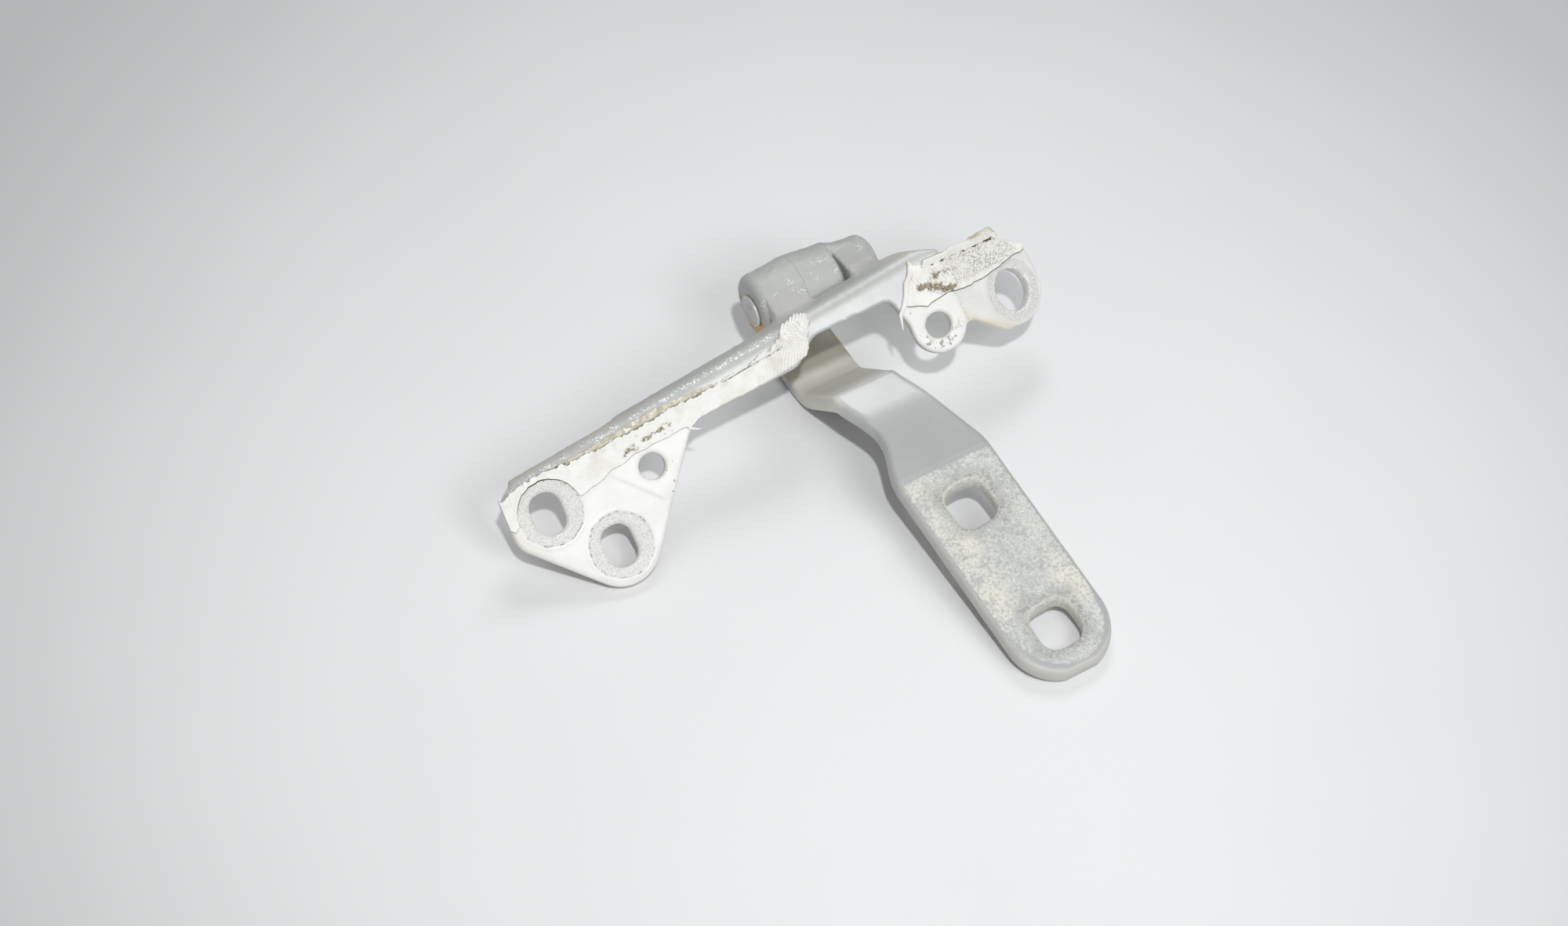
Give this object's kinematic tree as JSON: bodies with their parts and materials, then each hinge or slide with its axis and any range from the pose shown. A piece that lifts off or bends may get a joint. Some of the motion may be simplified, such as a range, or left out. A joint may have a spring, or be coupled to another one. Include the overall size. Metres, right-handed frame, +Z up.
{
  "type": "boot lid hinge",
  "caption": "Gooseneck boot lid hinge: a pressed body bracket with slotted feet carries a cranked lid arm that turns on a headed pin; torn seam sealer clings to the bracket.",
  "frame": {"origin": "on the table under the middle of the part's box, as it lies open", "axes": "+X along the pin from its head, +Y from the lid arm's tip towards the eyes, +Z up from the table"},
  "size_m": [0.1913, 0.1636, 0.0472],
  "materials": {
    "bracket_paint": "satin",
    "arm_paint": "chalky satin",
    "pin_steel": "overpainted",
    "bush_bronze": "dull",
    "sealer": "torn, matte"
  },
  "bodies": {
    "bracket": {"body_bracket": "bracket_paint", "bush_left": "bush_bronze", "bush_right": "bush_bronze", "sealer_left": "sealer", "sealer_right": "sealer"},
    "arm": {"lid_arm": "arm_paint", "hinge_pin": "pin_steel"}
  },
  "joints": [
    {"name": "lid_swing", "type": "hinge", "parent": "bracket", "child": "arm", "pos_m": [0.0293, 0.0705, 0.03], "axis": [-1, 0, 0], "range_deg": [-15, 75]}
  ]
}
